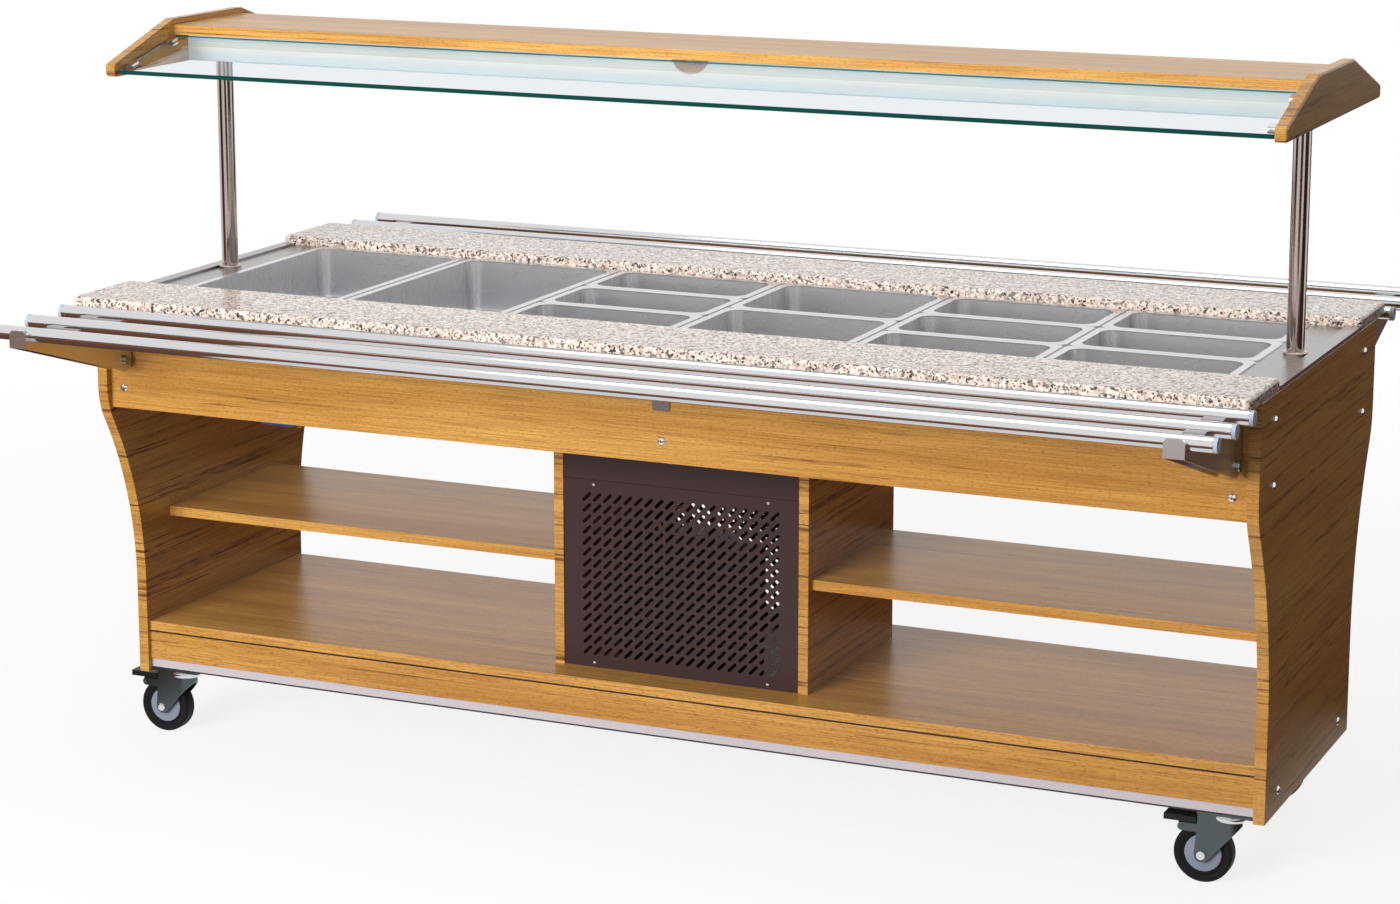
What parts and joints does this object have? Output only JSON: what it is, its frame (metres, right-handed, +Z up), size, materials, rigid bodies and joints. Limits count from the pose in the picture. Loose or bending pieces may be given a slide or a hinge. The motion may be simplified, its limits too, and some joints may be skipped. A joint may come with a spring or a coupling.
{
  "type": "refrigerated buffet cart",
  "caption": "Long wheeled salad bar with a chilled well of gastronorm pans, granite counters, fold-down tray slides, a lit canopy with sneeze glass and open storage shelves.",
  "frame": {"origin": "middle of the cart on the floor, under its centre", "axes": "+X along the cart's length to the right of the front, +Y to the back, +Z up"},
  "size_m": [2.2, 1.391, 1.331],
  "materials": {
    "wood_panel": "wood-decor laminate, satin, grain along Y",
    "wood_board": "wood-decor laminate, satin, grain along X",
    "wood_divider": "wood-decor laminate, satin, grain along Y",
    "base_frame": "light grey powder coat",
    "chrome": "polished chrome",
    "stainless": "satin stainless steel",
    "stainless_tube": "polished stainless tube with grey plastic end caps",
    "pan_steel": "pressed stainless steel",
    "foam_jacket": "foil-faced foam",
    "copper": "copper tube",
    "brass": "nickel-plated brass",
    "blue_lever": "dark blue plastic",
    "granite": "polished speckled granite",
    "glass": "clear float glass with green edges",
    "opal": "opal acrylic",
    "grey_plastic": "grey plastic",
    "black_plastic": "black plastic",
    "dark_plastic": "dark grey plastic",
    "brown_paint": "dark brown powder coat",
    "black_paint": "black enamel",
    "fin_aluminium": "mill finish",
    "zinc": "bright zinc plate",
    "wheel": "black rubber tyre on a grey hub"
  },
  "bodies": {
    "cart": {"left_side_panel": "wood_panel", "right_side_panel": "wood_panel", "base_boards": "wood_board", "base_frame": "base_frame", "apron_boards": "wood_board", "compartment_dividers": "wood_divider", "mid_shelves": "wood_board", "panel_screws": "chrome", "tub_liner": "stainless", "tub_insulation": "foam_jacket", "pan_support_bars": "stainless", "refrigerant_lines": "copper", "drain_valve": "brass", "granite_slabs": "granite", "canopy_posts": "chrome", "canopy_cheeks": "wood_panel", "canopy_top_board": "wood_board", "sneeze_glasses": "glass", "glass_clips": "chrome", "light_box": "opal", "switch_plate": "grey_plastic", "front_grille": "brown_paint", "rear_grille": "brown_paint", "compressor": "black_paint", "condenser": "fin_aluminium", "fan_motor": "black_paint", "control_box": "dark_plastic", "tray_pivots": "stainless", "caster_plates": "zinc"},
    "front_left_caster": {"front_left_fork": "zinc"},
    "front_left_wheel": {"front_left_wheel": "wheel"},
    "front_left_brake": {"front_left_brake": "black_plastic"},
    "front_right_caster": {"front_right_fork": "zinc"},
    "front_right_wheel": {"front_right_wheel": "wheel"},
    "front_right_brake": {"front_right_brake": "black_plastic"},
    "rear_left_caster": {"rear_left_fork": "zinc"},
    "rear_left_wheel": {"rear_left_wheel": "wheel"},
    "rear_right_caster": {"rear_right_fork": "zinc"},
    "rear_right_wheel": {"rear_right_wheel": "wheel"},
    "front_tray": {"front_tray_rails": "stainless_tube", "front_tray_brackets": "stainless"},
    "rear_tray": {"rear_tray_rails": "stainless_tube", "rear_tray_brackets": "stainless"},
    "pan_01": {"pan_01": "pan_steel"},
    "pan_02": {"pan_02": "pan_steel"},
    "pan_03": {"pan_03": "pan_steel"},
    "pan_04": {"pan_04": "pan_steel"},
    "pan_05": {"pan_05": "pan_steel"},
    "pan_06": {"pan_06": "pan_steel"},
    "pan_07": {"pan_07": "pan_steel"},
    "pan_08": {"pan_08": "pan_steel"},
    "pan_09": {"pan_09": "pan_steel"},
    "pan_10": {"pan_10": "pan_steel"},
    "pan_11": {"pan_11": "pan_steel"},
    "pan_12": {"pan_12": "pan_steel"},
    "pan_13": {"pan_13": "pan_steel"},
    "fan": {"fan_rotor": "fin_aluminium"},
    "drain_lever": {"drain_lever": "blue_lever"},
    "light_switch": {"light_switch": "black_plastic"},
    "power_switch": {"power_switch": "black_plastic"}
  },
  "joints": [
    {"name": "front_left_swivel", "type": "hinge", "parent": "cart", "child": "front_left_caster", "pos_m": [-1.005, -0.23, 0.12], "axis": [0, 0, 1], "continuous": true},
    {"name": "front_left_roll", "type": "hinge", "parent": "front_left_caster", "child": "front_left_wheel", "pos_m": [-1.047, -0.23, 0.05], "axis": [0, 1, 0], "continuous": true},
    {"name": "front_left_brake_press", "type": "hinge", "parent": "front_left_caster", "child": "front_left_brake", "pos_m": [-1.082, -0.23, 0.095], "axis": [0, -1, 0], "range_deg": [0, 10]},
    {"name": "front_right_swivel", "type": "hinge", "parent": "cart", "child": "front_right_caster", "pos_m": [1.005, -0.23, 0.12], "axis": [0, 0, 1], "continuous": true},
    {"name": "front_right_roll", "type": "hinge", "parent": "front_right_caster", "child": "front_right_wheel", "pos_m": [0.963, -0.23, 0.05], "axis": [0, 1, 0], "continuous": true},
    {"name": "front_right_brake_press", "type": "hinge", "parent": "front_right_caster", "child": "front_right_brake", "pos_m": [0.928, -0.23, 0.095], "axis": [0, -1, 0], "range_deg": [0, 10]},
    {"name": "rear_left_swivel", "type": "hinge", "parent": "cart", "child": "rear_left_caster", "pos_m": [-1.005, 0.23, 0.12], "axis": [0, 0, 1], "continuous": true},
    {"name": "rear_left_roll", "type": "hinge", "parent": "rear_left_caster", "child": "rear_left_wheel", "pos_m": [-1.047, 0.23, 0.05], "axis": [0, 1, 0], "continuous": true},
    {"name": "rear_right_swivel", "type": "hinge", "parent": "cart", "child": "rear_right_caster", "pos_m": [1.005, 0.23, 0.12], "axis": [0, 0, 1], "continuous": true},
    {"name": "rear_right_roll", "type": "hinge", "parent": "rear_right_caster", "child": "rear_right_wheel", "pos_m": [0.963, 0.23, 0.05], "axis": [0, 1, 0], "continuous": true},
    {"name": "front_tray_fold", "type": "hinge", "parent": "cart", "child": "front_tray", "pos_m": [0, -0.395, 0.745], "axis": [1, 0, 0], "range_deg": [0, 90]},
    {"name": "rear_tray_fold", "type": "hinge", "parent": "cart", "child": "rear_tray", "pos_m": [0, 0.395, 0.745], "axis": [-1, 0, 0], "range_deg": [0, 90]},
    {"name": "pan_01_lift", "type": "slide", "parent": "cart", "child": "pan_01", "axis": [0, 0, 1], "range_m": [0, 0.16]},
    {"name": "pan_02_lift", "type": "slide", "parent": "cart", "child": "pan_02", "axis": [0, 0, 1], "range_m": [0, 0.16]},
    {"name": "pan_03_lift", "type": "slide", "parent": "cart", "child": "pan_03", "axis": [0, 0, 1], "range_m": [0, 0.16]},
    {"name": "pan_04_lift", "type": "slide", "parent": "cart", "child": "pan_04", "axis": [0, 0, 1], "range_m": [0, 0.16]},
    {"name": "pan_05_lift", "type": "slide", "parent": "cart", "child": "pan_05", "axis": [0, 0, 1], "range_m": [0, 0.16]},
    {"name": "pan_06_lift", "type": "slide", "parent": "cart", "child": "pan_06", "axis": [0, 0, 1], "range_m": [0, 0.16]},
    {"name": "pan_07_lift", "type": "slide", "parent": "cart", "child": "pan_07", "axis": [0, 0, 1], "range_m": [0, 0.16]},
    {"name": "pan_08_lift", "type": "slide", "parent": "cart", "child": "pan_08", "axis": [0, 0, 1], "range_m": [0, 0.16]},
    {"name": "pan_09_lift", "type": "slide", "parent": "cart", "child": "pan_09", "axis": [0, 0, 1], "range_m": [0, 0.16]},
    {"name": "pan_10_lift", "type": "slide", "parent": "cart", "child": "pan_10", "axis": [0, 0, 1], "range_m": [0, 0.16]},
    {"name": "pan_11_lift", "type": "slide", "parent": "cart", "child": "pan_11", "axis": [0, 0, 1], "range_m": [0, 0.16]},
    {"name": "pan_12_lift", "type": "slide", "parent": "cart", "child": "pan_12", "axis": [0, 0, 1], "range_m": [0, 0.16]},
    {"name": "pan_13_lift", "type": "slide", "parent": "cart", "child": "pan_13", "axis": [0, 0, 1], "range_m": [0, 0.16]},
    {"name": "fan_spin", "type": "hinge", "parent": "cart", "child": "fan", "pos_m": [0, -0.15, 0.345], "axis": [0, 1, 0], "continuous": true},
    {"name": "drain_turn", "type": "hinge", "parent": "cart", "child": "drain_lever", "pos_m": [-0.884, -0.03, 0.5657], "axis": [0, -1, 0], "range_deg": [0, 90]},
    {"name": "light_switch_rock", "type": "hinge", "parent": "cart", "child": "light_switch", "pos_m": [-0.038, -0.074, 1.291], "axis": [1, 0, 0], "range_deg": [0, 16]},
    {"name": "power_switch_rock", "type": "hinge", "parent": "cart", "child": "power_switch", "pos_m": [0.15, 0.202, 0.6147], "axis": [1, 0, 0], "range_deg": [-16, 0]}
  ]
}
